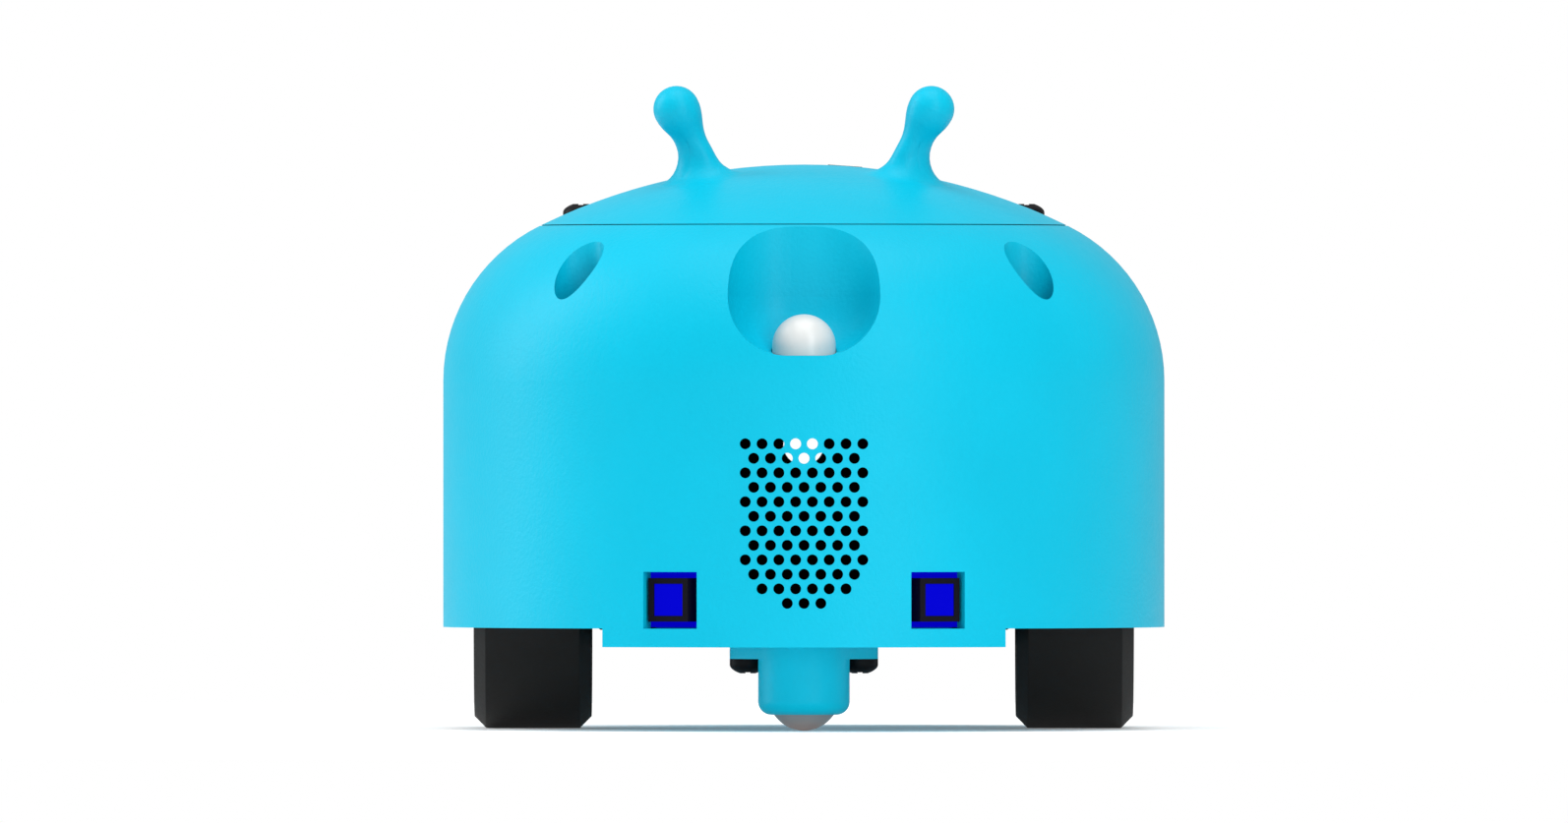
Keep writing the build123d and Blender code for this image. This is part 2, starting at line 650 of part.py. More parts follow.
with BuildPart() as output_shaft:
    with BuildSketch(Plane.YZ.offset(GEARBOX_IN - 3)):
        with Locations((AXLE_Y, AXLE_Z)):
            Circle(SHAFT_R)
            Rectangle(3 * SHAFT_R, SHAFT_FLATS, mode=Mode.INTERSECT)
    extrude(amount=SHAFT_OUT - GEARBOX_IN + 3)
    with BuildSketch(Plane.YZ.offset(GEARBOX_IN)):
        with Locations((AXLE_Y, AXLE_Z)):
            Circle(SHAFT_R)
    extrude(amount=GEARBOX_OUT - GEARBOX_IN)
save_pair(output_shaft, "output_shaft")

with BuildPart() as output_gear:
    with BuildSketch(Plane((GEARBOX_MID + OUTPUT_OFFSET, AXLE_Y, AXLE_Z),
                           x_dir=(0, 1, 0), z_dir=(1, 0, 0))):
        gear_sketch(OUTPUT_TEETH)
        Circle(SHAFT_R + 0.02, mode=Mode.SUBTRACT)
    extrude(amount=OUTPUT_FACE)
save_pair(output_gear, "output_gear")

with BuildPart() as cluster_gear:
    crown_plane = Plane((CROWN_FACE_X, CLUSTER_Y, AXLE_Z), x_dir=(0, 1, 0), z_dir=(1, 0, 0))
    with BuildSketch(crown_plane):
        Circle(CROWN_PITCH_R + CROWN_TOOTH_L / 2)
    extrude(amount=-CROWN_DISC_T)
    # radial teeth of the crown, a gap facing the motor
    with BuildSketch(crown_plane):
        with PolarLocations(CROWN_PITCH_R, CROWN_TEETH, start_angle=180 / CROWN_TEETH):
            Rectangle(CROWN_TOOTH_L,
                      pi * MODULE / 2 - BACKLASH + 2 * DEDENDUM * tan(radians(PRESSURE_DEG)))
    extrude(amount=ADDENDUM + DEDENDUM, taper=PRESSURE_DEG)
    # hub and small pinion, a gap facing the output gear
    with BuildSketch(crown_plane):
        Circle(CLUSTER_HUB_R)
    extrude(amount=GEARBOX_MID + HUB_TO_MID - CROWN_FACE_X)
    with BuildSketch(crown_plane.offset(GEARBOX_MID + HUB_TO_MID - CROWN_FACE_X)):
        gear_sketch(CLUSTER_TEETH, 180 / CLUSTER_TEETH)
    extrude(amount=CLUSTER_FACE)
    with BuildSketch(crown_plane.offset(-5)):
        Circle(PIN_R + RUNNING)
    extrude(amount=20, mode=Mode.SUBTRACT)
save_pair(cluster_gear, "cluster_gear")

with BuildPart() as gear_pin:
    with BuildSketch(Plane.YZ.offset(GEARBOX_IN + PIN_END)):
        with Locations((CLUSTER_Y, AXLE_Z)):
            Circle(PIN_R)
    extrude(amount=GEARBOX_OUT - GEARBOX_IN - 2 * PIN_END)
save_pair(gear_pin, "gear_pin")


def gearbox_half(start, end):
    """One half of the hollow gearbox, from its outer face at start to the joint face at end."""
    inward = 1 if end > start else -1
    with BuildPart() as half:
        with BuildSketch(Plane.YZ.offset(start)) as outline:
            with Locations((GEARBOX_Y, AXLE_Z)):
                Rectangle(GEARBOX_L, GEARBOX_H)
            fillet(outline.vertices().group_by(Axis.Y)[-1], 4.0)
        extrude(amount=end - start)
        with BuildSketch(Plane.YZ.offset(end)):
            with Locations((GEARBOX_Y, AXLE_Z)):
                Rectangle(GEARBOX_L - 2 * GEARBOX_WALL, GEARBOX_H - 2 * GEARBOX_WALL)
            with Locations(*[(MOTOR_SCREW_Y, z) for z in MOTOR_SCREW_Z]):
                Circle(POST_R, mode=Mode.SUBTRACT)
        extrude(amount=start - end + inward * GEARBOX_WALL, mode=Mode.SUBTRACT)
        with BuildSketch(Plane.YZ.offset(start)):
            with Locations((AXLE_Y, AXLE_Z)):
                Circle(SHAFT_R + RUNNING)
            with Locations(*[(MOTOR_SCREW_Y, z) for z in MOTOR_SCREW_Z]):
                Circle(M3[0] + SNUG)
        extrude(amount=end - start, mode=Mode.SUBTRACT)
        with BuildSketch(Plane.YZ.offset(start + inward * PIN_END)):
            with Locations((CLUSTER_Y, AXLE_Z)):
                Circle(PIN_R + 0.01)
        extrude(amount=end - start - inward * PIN_END, mode=Mode.SUBTRACT)
        # mouth for the motor's bearing boss
        with BuildSketch(Plane.XZ.offset(-MOTOR_Y - GEARBOX_WALL - 0.5)):
            with Locations((GEARBOX_MID, AXLE_Z)):
                Circle(BOSS_R + 0.1)
        extrude(amount=GEARBOX_WALL + 1, mode=Mode.SUBTRACT)
    return half


save_pair(gearbox_half(GEARBOX_IN, GEARBOX_MID), "gearbox_case")
save_pair(gearbox_half(GEARBOX_OUT, GEARBOX_MID), "gearbox_cover")


def motor_section(radius, flats):
    """A round motor can with two flat sides."""
    with Locations((GEARBOX_MID, AXLE_Z)):
        Circle(radius)
        Rectangle(flats, 2 * radius, mode=Mode.INTERSECT)


with BuildPart() as motor_can:
    with BuildSketch(Plane.XZ.offset(-MOTOR_Y)):
        motor_section(MOTOR_R, MOTOR_FLATS)
    extrude(amount=MOTOR_L)
    fillet(motor_can.edges().group_by(Axis.Y)[0], 1.0)
    with BuildSketch(Plane.XZ.offset(-MOTOR_Y + 1)):
        motor_section(MOTOR_R - CAN_T, MOTOR_FLATS - 2 * CAN_T)
    extrude(amount=MOTOR_L - 3, mode=Mode.SUBTRACT)
    with BuildSketch(Plane.XZ.offset(-MOTOR_Y)):
        with Locations((GEARBOX_MID, AXLE_Z)):
            Circle(BOSS_R)
    extrude(amount=-GEARBOX_WALL)
    with BuildSketch(Plane.XZ.offset(-MOTOR_Y - 5)):
        with Locations((GEARBOX_MID, AXLE_Z)):
            Circle(ROTOR_SHAFT_R + RUNNING)
    extrude(amount=MOTOR_L + 4, mode=Mode.SUBTRACT)
    # solder tags on the end cap
    with BuildSketch(Plane.XZ.offset(-MOTOR_Y + MOTOR_L - 0.5)):
        with Locations((GEARBOX_MID, AXLE_Z - 6.5), (GEARBOX_MID, AXLE_Z + 6.5)):
            Rectangle(2.2, 0.5)
    extrude(amount=4)
save_pair(motor_can, "motor_can")

pinion_end = CLUSTER_Y - CROWN_PITCH_R + 0.5

with BuildPart() as motor_rotor:
    with BuildSketch(Plane((GEARBOX_MID, pinion_end, AXLE_Z), x_dir=(1, 0, 0), z_dir=(0, -1, 0))):
        gear_sketch(MOTOR_TEETH)
    extrude(amount=1.0)
    with BuildSketch(Plane.XZ.offset(-pinion_end)):
        with Locations((GEARBOX_MID, AXLE_Z)):
            Circle(ROTOR_SHAFT_R)
    extrude(amount=pinion_end - MOTOR_Y + MOTOR_L - 2)
    with BuildSketch(Plane.XZ.offset(-MOTOR_Y + 4)):
        with Locations((GEARBOX_MID, AXLE_Z)):
            Circle(ROTOR_R)
    extrude(amount=ROTOR_L)
save_pair(motor_rotor, "motor_rotor")

motor_seats = [seat(GEARBOX_OUT, MOTOR_SCREW_Y, z, (1, 0, 0)) for z in MOTOR_SCREW_Z]
save_pair(screw_set(motor_seats, GEARBOX_OUT - GEARBOX_IN + 3.0, M3), "motor_screws")

# ============================ Sensors ============================

with BuildPart() as sensor_board:
    with BuildSketch(sensor_plane(1).offset(SENSOR_BOARD)):
        with Locations((0, SHELL_Z + 0.3 + SENSOR_BOARD_H / 2)):
            Rectangle(SENSOR_BOARD_W, SENSOR_BOARD_H)
    extrude(amount=-BOARD_T)
save_pair(sensor_board, "sensor_board")

with BuildPart() as sensor_housing:
    with BuildSketch(sensor_plane(1).offset(SENSOR_BOARD)):
        with Locations((SENSOR_SHIFT, SENSOR_Z)):
            Rectangle(SENSOR_W, SENSOR_H)
    extrude(amount=SENSOR_FACE - SENSOR_BOARD)
    with BuildSketch(sensor_plane(1).offset(SENSOR_FACE)):
        with Locations((SENSOR_SHIFT, SENSOR_Z)):
            Rectangle(LENS_SIDE + 0.1, LENS_SIDE + 0.1)
    extrude(amount=-2.0, mode=Mode.SUBTRACT)
save_pair(sensor_housing, "sensor_housing")

with BuildPart() as sensor_lens:
    with BuildSketch(sensor_plane(1).offset(SENSOR_FACE - 0.2)):
        with Locations((SENSOR_SHIFT, SENSOR_Z)):
            Rectangle(LENS_SIDE, LENS_SIDE)
    extrude(amount=-1.75)
save_pair(sensor_lens, "sensor_lens")

# ============================ Nose lamp ============================

lamp_board_z = POCKET_Z - POCKET_WALL - 5.0
flange_low = lamp_board_z + BOARD_T + 0.1
flange_top = POCKET_Z - POCKET_WALL - 0.5

with BuildPart() as nose_lens:
    with BuildSketch(Plane.XZ.offset(-NOSE_Y)):
        with BuildLine():
            dome = CenterArc((0, NOSE_Z), NOSE_R, 0, 90)
            inner = CenterArc((0, NOSE_Z), NOSE_R - NOSE_WALL, 90, -90)
            Line(dome @ 1, inner @ 0)
            Polyline(inner @ 1, (NOSE_R - NOSE_WALL, flange_low), (FLANGE_R, flange_low),
                     (FLANGE_R, flange_top), (NOSE_R, flange_top), dome @ 0)
        make_face()
    revolve(axis=Axis((0, NOSE_Y, 0), (0, 0, 1)))
    # the flange is cut flat where it would meet the front wall
    with BuildSketch(Plane.XY.offset(lamp_board_z)):
        with Locations((0, NOSE_Y - NOSE_R - 5)):
            Rectangle(4 * NOSE_R, 10)
    extrude(amount=6, mode=Mode.SUBTRACT)
save(nose_lens, "nose_lens")

with BuildPart() as nose_board:
    with BuildSketch(Plane.XY.offset(lamp_board_z)):
        with Locations((0, NOSE_Y + 1.1)):
            Rectangle(2 * NOSE_R + 6, 2 * NOSE_R + 1)
    extrude(amount=BOARD_T)
save(nose_board, "nose_board")

led_foot = lamp_board_z + BOARD_T

with BuildPart() as nose_led:
    with BuildSketch(Plane.XZ.offset(-NOSE_Y)):
        with BuildLine():
            tip = CenterArc((0, lamp_board_z + 7), LED_R, 0, 90)
            Polyline(tip @ 1, (0, led_foot), (LED_FOOT_R, led_foot), (LED_FOOT_R, led_foot + 1),
                     (LED_R, led_foot + 1), tip @ 0)
        make_face()
    revolve(axis=Axis((0, NOSE_Y, 0), (0, 0, 1)))
save(nose_led, "nose_led")

# ============================ Speaker ============================


def about_speaker(points):
    """A piece turned about the speaker's axis from a half section of radius and Y."""
    with BuildPart() as piece:
        with BuildSketch(Plane.XY.offset(SPEAKER_Z)):
            Polygon(*points, align=None)
        revolve(axis=Axis((0, 0, SPEAKER_Z), (0, 1, 0)))
    return piece


front = SPEAKER_FRONT_Y

speaker_frame = about_speaker([
    (13.6, front), (SPEAKER_R, front), (SPEAKER_R, front + 1.8), (14.0, front + 1.8),
    (9.0, front + 7.4), (9.0, front + 8.4), (2.6, front + 8.4), (2.6, front + 7.2),
    (8.2, front + 7.2), (13.0, front + 1.8), (13.6, front + 1.0)])
save(speaker_frame, "speaker_frame")

speaker_cone = about_speaker([
    (13.5, front + 0.2), (13.5, front + 0.7), (12.0, front + 0.7), (4.0, front + 5.2),
    (0, front + 4.6), (0, front + 4.1), (4.0, front + 4.6), (12.0, front + 0.2)])
save(speaker_cone, "speaker_cone")

speaker_magnet = about_speaker([
    (0, front + 8.5), (8.0, front + 8.5), (8.0, front + 13.4), (0, front + 13.4)])
save(speaker_magnet, "speaker_magnet")

with BuildPart() as speaker_bracket:
    with BuildSketch(Plane.XZ.offset(-front - 1.9)):
        with Locations((0, (SHELL_Z + SPEAKER_Z + SPEAKER_R) / 2)):
            Rectangle(2 * SPEAKER_R, SPEAKER_R + SPEAKER_Z - SHELL_Z)
        with Locations((0, SPEAKER_Z)):
            Circle(BRACKET_MOUTH_R, mode=Mode.SUBTRACT)
    extrude(amount=-BRACKET_T)
    with BuildSketch(Plane.XY.offset(SHELL_Z)):
        with Locations((0, BRACKET_FOOT_Y)):
            Rectangle(BRACKET_FOOT_W, BRACKET_FOOT_L)
        with Locations(*BRACKET_SCREWS):
            Circle(M3[0] + SNUG, mode=Mode.SUBTRACT)
    extrude(amount=BRACKET_T)
save(speaker_bracket, "speaker_bracket")
bracket_seats = [seat(x, y, SHELL_Z + BRACKET_T) for x, y in BRACKET_SCREWS]
save(screw_set(bracket_seats, BRACKET_SCREW_L, M3), "speaker_screws")

with BuildPart() as grille_foam:
    # thin dark sheet that follows the wall behind the grille
    with BuildSketch(Plane.XY.offset(SHELL_Z + FOAM_RISE)):
        with Locations((0, FRONT_Y)):
            Circle(BODY_R - WALL - 0.3)
            Circle(BODY_R - WALL - 0.3 - FOAM_T, mode=Mode.SUBTRACT)
        with Locations((0, FRONT_Y - BODY_R)):
            Rectangle(2 * SPEAKER_R - 1, BODY_R, mode=Mode.INTERSECT)
    extrude(amount=PORT_Z + PORT_R + 2.0 - SHELL_Z - FOAM_RISE)
    with BuildSketch(Plane.XZ.offset(BODY_R - FRONT_Y - 10)):
        with Locations((0, PORT_Z)):
            Circle(PORT_R)
    extrude(amount=10, mode=Mode.SUBTRACT)
save(grille_foam, "grille_foam")

# ============================ Rocker switch ============================

pivot_plane = Plane(origin=switch_plane.origin - switch_plane.z_dir * BEZEL_SINK,
                    x_dir=switch_plane.y_dir, z_dir=switch_plane.x_dir)
well_half_l = ROCKER_R + ROCKER_GAP

with BuildPart() as switch_body:
    with BuildSketch(switch_plane.offset(-BEZEL_SINK)):
        RectangleRounded(BEZEL_W, BEZEL_L, 1.0)
    extrude(amount=BEZEL_T)
    with BuildSketch(switch_plane.offset(-BEZEL_SINK)):
        Rectangle(SWITCH_W, SWITCH_L)
    extrude(amount=-SWITCH_DEPTH)
    with BuildSketch(switch_plane.offset(-BEZEL_SINK - SWITCH_WELL)):
        Rectangle(ROCKER_W + 0.5, 2 * well_half_l)
    extrude(amount=20, mode=Mode.SUBTRACT)
    with BuildSketch(pivot_plane.offset(-5)):
        Circle(PIVOT_R + RUNNING)
    extrude(amount=10, mode=Mode.SUBTRACT)
    # three terminals
    with BuildSketch(switch_plane.offset(-BEZEL_SINK - SWITCH_DEPTH)):
        with GridLocations(1, TERMINAL_PITCH, 1, 3):
            Rectangle(TERMINAL_W, TERMINAL_T)
    extrude(amount=-TERMINAL_L)
save(switch_body, "switch_body")

with BuildPart() as switch_rocker:
    tilt = radians(ROCKER_TILT)
    tilted = Plane(origin=pivot_plane.origin, z_dir=pivot_plane.z_dir,
                   x_dir=pivot_plane.x_dir * cos(tilt) + pivot_plane.y_dir * sin(tilt))
    with BuildSketch(tilted):
        Circle(ROCKER_R)
        Polygon((-7, -2.5), (7, -2.5), (7, 2.58), (0, 1.0), (-7, 2.58),
                align=None, mode=Mode.INTERSECT)
    extrude(amount=ROCKER_W / 2, both=True)
    with BuildSketch(tilted):
        Circle(PIVOT_R)
    extrude(amount=ROCKER_W / 2 + 0.6, both=True)
save(switch_rocker, "switch_rocker")

# ============================ Battery ============================

with BuildPart() as battery_holder:
    with BuildSketch(Plane.XY.offset(HOLDER_Z)):
        with Locations((0, HOLDER_Y)):
            Rectangle(HOLDER_W, HOLDER_L)
    extrude(amount=HOLDER_H)
    with BuildSketch(Plane.XY.offset(HOLDER_Z + HOLDER_FLOOR)):
        with Locations((0, HOLDER_Y)):
            Rectangle(HOLDER_W - 2 * HOLDER_SIDE, HOLDER_L - 2 * HOLDER_END)
    extrude(amount=HOLDER_H, mode=Mode.SUBTRACT)
save(battery_holder, "battery_holder")

cell_z = HOLDER_Z + HOLDER_FLOOR + CELL_R + 0.1

with BuildPart() as battery_cells:
    for x, toward in ((-CELL_X, -1), (CELL_X, 1)):
        with BuildSketch(Plane.XZ.offset(-HOLDER_Y - CELL_L / 2)):
            with Locations((x, cell_z)):
                Circle(CELL_R)
        extrude(amount=CELL_L)
        with BuildSketch(Plane.XZ.offset(-HOLDER_Y - toward * CELL_L / 2)):
            with Locations((x, cell_z)):
                Circle(CELL_TIP_R)
        extrude(amount=-toward * CELL_TIP_L)
    fillet(battery_cells.edges().filter_by(lambda e: e.geom_type == GeomType.CIRCLE
                                           and abs(e.radius - CELL_R) < 0.1), 0.8)
save(battery_cells, "battery_cells")

with BuildPart() as battery_contacts:
    for end in (-1, 1):
        inner_face = HOLDER_Y + end * (HOLDER_L / 2 - HOLDER_END - 0.1)
        with BuildSketch(Plane.XZ.offset(-inner_face)):
            with Locations((-CELL_X, cell_z - 2), (CELL_X, cell_z - 2)):
                Rectangle(CONTACT_W, CONTACT_H)
        extrude(amount=end * CONTACT_T)
save(battery_contacts, "battery_contacts")

# ============================ Controller ============================

with BuildPart() as controller_board:
    with BuildSketch(Plane.XY.offset(BOARD_Z)):
        with Locations((0, BOARD_Y)):
            RectangleRounded(BOARD_W, BOARD_L, 3.0)
        with Locations(*STANDOFFS):
            Circle(M2_5[0] + 0.2, mode=Mode.SUBTRACT)
    extrude(amount=BOARD_T)
save(controller_board, "controller_board")

board_top = BOARD_Z + BOARD_T


def on_board(blocks):
    """Upright blocks on the board, each with its centre and its size."""
    with BuildPart() as piece:
        for x, y, width, length, height in blocks:
            with BuildSketch(Plane.XY.offset(board_top)):
                with Locations((x, BOARD_Y + y)):
                    Rectangle(width, length)
            extrude(amount=height)
    return piece


save(on_board(CHIPS), "board_chips")
save(on_board(TERMINALS), "terminal_blocks")

with BuildPart() as board_capacitors:
    with BuildSketch(Plane.XY.offset(board_top)):
        with Locations(*CAPACITORS):
            Circle(CAPACITOR_R)
    extrude(amount=CAPACITOR_H)
    fillet(board_capacitors.edges().group_by(Axis.Z)[-1], 0.6)
save(board_capacitors, "board_capacitors")

with BuildPart() as standoffs:
    with BuildSketch(Plane.XY.offset(SHELL_Z)):
        with Locations(*STANDOFFS):
            RegularPolygon(STANDOFF_R, 6)
    extrude(amount=BOARD_Z - SHELL_Z)
    with BuildSketch(Plane.XY.offset(SHELL_Z)):
        with Locations(*STANDOFFS):
            Circle(M3[0])
    extrude(amount=-STUD_L)
    with BuildSketch(Plane.XY.offset(BOARD_Z)):
        with Locations(*STANDOFFS):
            Circle(M2_5[0] + TAPPED)
    extrude(amount=-6.0, mode=Mode.SUBTRACT)
save(standoffs, "standoffs")
save(screw_set([seat(x, y, board_top) for x, y in STANDOFFS], BOARD_SCREW_L, M2_5), "board_screws")
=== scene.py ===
"""Looks of the two wheel robot car, built round its CAD frame.

Lengths are in metres. The front faces -Y and +Z is up.
"""
import json
from math import cos, pi, radians, sin

import bmesh
import bpy
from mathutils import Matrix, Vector


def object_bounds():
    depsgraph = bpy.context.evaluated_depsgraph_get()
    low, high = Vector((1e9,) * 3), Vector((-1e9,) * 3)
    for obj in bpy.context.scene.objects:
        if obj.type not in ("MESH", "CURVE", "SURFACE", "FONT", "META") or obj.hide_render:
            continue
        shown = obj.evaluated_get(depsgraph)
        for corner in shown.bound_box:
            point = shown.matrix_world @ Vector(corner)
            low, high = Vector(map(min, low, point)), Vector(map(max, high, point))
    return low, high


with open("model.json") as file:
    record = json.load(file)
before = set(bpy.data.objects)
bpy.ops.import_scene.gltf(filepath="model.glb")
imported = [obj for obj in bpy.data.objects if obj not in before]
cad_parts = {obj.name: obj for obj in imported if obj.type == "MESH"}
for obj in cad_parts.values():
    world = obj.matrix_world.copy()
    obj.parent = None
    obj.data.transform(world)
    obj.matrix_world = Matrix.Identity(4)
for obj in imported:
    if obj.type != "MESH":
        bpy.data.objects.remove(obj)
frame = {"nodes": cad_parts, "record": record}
cad_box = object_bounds()
nodes = frame["nodes"]
slot_of = {part["node"]: part["material_slot"] for part in frame["record"]["subparts"]}

MM = 0.001
WHITE = (1, 1, 1, 1)

# The camera. The view is this many robot widths across at VIEW_PLANE_Y, and the lens is long
# enough to look nearly parallel, as the photograph does.
VIEW_IN_WIDTHS = 2.175
VIEW_PLANE_Y = -20 * MM
EYE_X = -4.4 * MM
EYE_Z = 70.5 * MM
LENS_MM = 880
SENSOR_MM = 36
NEAREST, FARTHEST = 0.1, 60

# The studio. Its walls light the robot less than they look white.
WALL_LIGHT = 0.50
WALL_LOOK = 1.0
BOX_DISTANCE = 1.4
BOX_AIM = Vector((0, 0, 0.07))
# Name; azimuth (0 in front, positive to the right) and elevation, degrees; width; height; watts.
SOFT_BOXES = (
    ("left_box", -100, 24, 0.55, 1.3, 13.6),
    ("right_box", 27, 24, 0.4, 1.3, 9.2),
    ("top_box", 0, 78, 1.2, 1.2, 16.5),
    ("low_box", 0, 2, 1.6, 0.2, 1.8),
)

# The floor lies just under the tyres and glows faintly, as light bounced from a white table does.
FLOOR_RADIUS = 0.75
FLOOR_SIDES = 96
FLOOR_DROP = 0.05 * MM
FLOOR_GLOW = 0.12

# Materials.
SHELL_CYAN = (0.0002, 0.378, 0.535)
# Painted light: the caster housing is the shell's plastic made lighter, standing in for light
# bounced up from below.
CASTER_CYAN_PAINTED_LIGHT = (0.0002, 0.55, 0.73)
# Painted light: the sensor's board and lens glow blue so that they stay bright in the shade of
# their window.
SENSOR_PAINTED_LIGHT = (0.0008, 0.0008, 0.56, 1)
SENSOR_PAINTED_LIGHT_STRENGTH = 0.85
SKIN_ROUGHNESS_SPREAD = 0.07
COAT_ROUGHNESS = 0.15
EDGE_SAMPLES = 6


# ---------------------------------------------------------------- camera, floor and lights

def make_camera():
    """A long level lens, set so that the robot stands a little right of the image's middle."""
    low, high = cad_box
    seen_width = VIEW_IN_WIDTHS * (high.x - low.x)
    data = bpy.data.cameras.new("camera")
    data.lens = LENS_MM
    data.sensor_width = SENSOR_MM
    data.clip_start = NEAREST
    data.clip_end = FARTHEST
    camera = bpy.data.objects.new("camera", data)
    distance = seen_width * LENS_MM / SENSOR_MM
    camera.location = (EYE_X, VIEW_PLANE_Y - distance, EYE_Z)
    camera.rotation_euler = (pi / 2, 0, 0)
    bpy.context.scene.collection.objects.link(camera)
    bpy.context.scene.camera = camera


def make_world():
    """A white studio, whose walls are dimmer as a light than they look."""
    world = bpy.data.worlds.new("studio")
    world.use_nodes = True
    tree = world.node_tree
    background = tree.nodes["Background"]
    background.inputs["Color"].default_value = WHITE
    seen = tree.nodes.new("ShaderNodeLightPath").outputs["Is Camera Ray"]
    level = tree.nodes.new("ShaderNodeMapRange")
    level.inputs["To Min"].default_value = WALL_LIGHT
    level.inputs["To Max"].default_value = WALL_LOOK
    tree.links.new(seen, level.inputs["Value"])
    tree.links.new(level.outputs["Result"], background.inputs["Strength"])
    bpy.context.scene.world = world


def soft_box(name, azimuth, elevation, width, height, power):
    """A rectangular soft light aimed at the robot."""
    across, up = radians(azimuth), radians(elevation)
    outward = Vector((sin(across) * cos(up), -cos(across) * cos(up), sin(up)))
    data = bpy.data.lights.new(name, "AREA")
    data.shape = "RECTANGLE"
    data.size = width
    data.size_y = height
    data.energy = power
    lamp = bpy.data.objects.new(name, data)
    lamp.location = BOX_AIM + BOX_DISTANCE * outward
    lamp.rotation_euler = (-outward).to_track_quat("-Z", "Y").to_euler()
    bpy.context.scene.collection.objects.link(lamp)


def make_floor():
    """A pale round floor under the wheels."""
    mesh = bpy.data.meshes.new("floor")
    build = bmesh.new()
    bmesh.ops.create_circle(build, cap_ends=True, radius=FLOOR_RADIUS, segments=FLOOR_SIDES)
    build.to_mesh(mesh)
    build.free()
    floor = bpy.data.objects.new("floor", mesh)
    floor.location = (0, 0, -FLOOR_DROP)
    bpy.context.scene.collection.objects.link(floor)
    tree = Tree("pale_floor")
    grain = tree.noise(scale=9, detail=3)
    tree.feed("Base Color", tree.mottled(grain, (1, 1, 1), (0.3, 0.93), (0.7, 0.96)))
    tree.set("Roughness", 0.9)
    tree.set("Specular IOR Level", 0.1)
    tree.set("Emission Color", WHITE)
    tree.set("Emission Strength", FLOOR_GLOW)
    mesh.materials.append(tree.material)


# ---------------------------------------------------------------- materials

class Tree:
    """A node material round one Principled shader, in the object's own metres."""

    def __init__(self, name):
        self.material = bpy.data.materials.new(name)
        self.material.use_nodes = True
        self.nodes = self.material.node_tree.nodes
        self.links = self.material.node_tree.links
        self.sockets = self.nodes["Principled BSDF"].inputs
        self.place = self.nodes.new("ShaderNodeTexCoord").outputs["Object"]

    def set(self, socket, value):
        """Give the shader a value that is the same all over."""
        self.sockets[socket].default_value = value

    def feed(self, socket, output):
        """Give the shader a value that varies over the surface."""
        self.links.new(output, self.sockets[socket])

    def noise(self, scale, detail=2.0, roughness=0.5, stretch=None):
        node = self.nodes.new("ShaderNodeTexNoise")
        node.inputs["Scale"].default_value = scale
        node.inputs["Detail"].default_value = detail
        node.inputs["Roughness"].default_value = roughness
        where = self.place
        if stretch:
            mapping = self.nodes.new("ShaderNodeMapping")
            mapping.inputs["Scale"].default_value = stretch
            self.links.new(self.place, mapping.inputs["Vector"])
            where = mapping.outputs["Vector"]
        self.links.new(where, node.inputs["Vector"])
        return node.outputs["Fac"]

    def mottled(self, value, colour, low, high):
        """Vary a colour's brightness by a texture; low and high are pairs of value and factor."""
        node = self.nodes.new("ShaderNodeValToRGB")
        for element, (position, factor) in zip(node.color_ramp.elements, (low, high)):
            element.position = position
            element.color = (*(min(1.0, c * factor) for c in colour), 1)
        self.links.new(value, node.inputs["Fac"])
        return node.outputs["Color"]

    def levels(self, value, low, high):
        """Stretch a 0 to 1 value over low to high."""
        node = self.nodes.new("ShaderNodeMapRange")
        node.inputs["To Min"].default_value = low
        node.inputs["To Max"].default_value = high
        self.links.new(value, node.inputs["Value"])
        return node.outputs["Result"]

    def bump(self, height, distance, under=None):
        """Raise the surface by a texture; under is the normal it goes on top of."""
        node = self.nodes.new("ShaderNodeBump")
        node.inputs["Distance"].default_value = distance
        node.inputs["Strength"].default_value = 1.0
        self.links.new(height, node.inputs["Height"])
        if under is not None:
            self.links.new(under, node.inputs["Normal"])
        return node.outputs["Normal"]

    def rounded_edges(self, radius):
        node = self.nodes.new("ShaderNodeBevel")
        node.samples = EDGE_SAMPLES
        node.inputs["Radius"].default_value = radius
        return node.outputs["Normal"]


def moulded(name, colour, roughness=0.5, grain=1400, grain_depth=0.03, mottle=0.06, edge=0.25,
            specular=0.35, coat=0.0):
    """Plastic, rubber or black oxide: a fine skin, faint mottling and softened edges.

    grain_depth and edge are in mm.
    """
    tree = Tree(name)
    cloud = tree.noise(scale=38, detail=4, roughness=0.6)
    tree.feed("Base Color", tree.mottled(cloud, colour, (0.25, 1 - mottle), (0.75, 1 + mottle)))
    fine = tree.noise(scale=grain, detail=3, roughness=0.6)
    tree.feed("Roughness", tree.levels(
        fine, roughness - SKIN_ROUGHNESS_SPREAD, roughness + SKIN_ROUGHNESS_SPREAD))
    edges = tree.rounded_edges(edge * MM)
    tree.feed("Normal", tree.bump(fine, grain_depth * MM, under=edges))
    tree.set("Specular IOR Level", specular)
    tree.set("Coat Weight", coat)
    tree.set("Coat Roughness", COAT_ROUGHNESS)
    return tree


def metal(name, colour, roughness=0.3, stretch=None, grain=900, edge=0.15, scratch=0.006):
    """Metal with fine marks, which stretch can draw out one way; edge and scratch are in mm."""
    tree = Tree(name)
    marks = tree.noise(scale=grain, detail=3, roughness=0.6, stretch=stretch)
    cloud = tree.noise(scale=60, detail=3)
    tree.feed("Base Color", tree.mottled(cloud, colour, (0.3, 0.9), (0.7, 1.08)))
    tree.feed("Roughness", tree.levels(marks, roughness - 0.08, roughness + 0.1))
    edges = tree.rounded_edges(edge * MM)
    tree.feed("Normal", tree.bump(marks, scratch * MM, under=edges))
    tree.set("Metallic", 1.0)
    return tree


